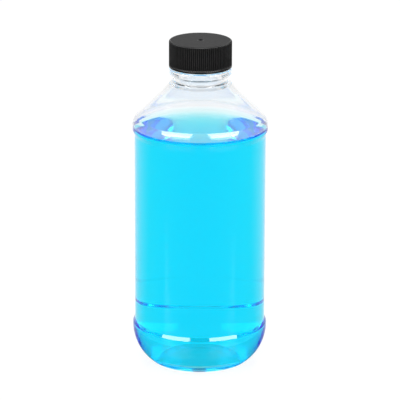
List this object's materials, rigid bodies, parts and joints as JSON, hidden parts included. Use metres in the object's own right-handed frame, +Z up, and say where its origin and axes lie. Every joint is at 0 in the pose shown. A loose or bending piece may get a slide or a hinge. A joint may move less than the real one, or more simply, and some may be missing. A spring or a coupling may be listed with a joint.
{
  "type": "plastic bottle",
  "caption": "Clear round plastic bottle with a cone shoulder, recessed panel, rounded heel and pushed-up base, holding blue liquid under a black ribbed screw cap.",
  "frame": {"origin": "centre of the face that the bottle stands on, on the bottle's axis", "axes": "+Z up along the bottle's axis, from the base to the cap; the bottle is round, so +X and +Y are any two square directions across it"},
  "size_m": [0.0574, 0.0574, 0.1406],
  "materials": {
    "clear_plastic": "clear blown plastic, gloss",
    "blue_liquid": "clear cyan-blue liquid",
    "liner_foam": "white closed-cell foam",
    "black_plastic": "black moulded plastic, satin"
  },
  "bodies": {
    "bottle_body": {"bottle": "clear_plastic", "liquid": "blue_liquid"},
    "liner_body": {"cap_liner": "liner_foam"},
    "cap_body": {"cap": "black_plastic"}
  },
  "joints": [
    {"name": "cap_lift", "type": "slide", "parent": "bottle_body", "child": "liner_body", "axis": [0, 0, 1], "range_m": [0, 0.0128]},
    {"name": "cap_turn", "type": "hinge", "parent": "liner_body", "child": "cap_body", "pos_m": [0, 0, 0.1385], "axis": [0, 0, 1], "range_deg": [0, 1440]}
  ],
  "couplings": [
    {"joint": "cap_lift", "follows": "cap_turn", "m_per_rad": 0.00050532}
  ]
}
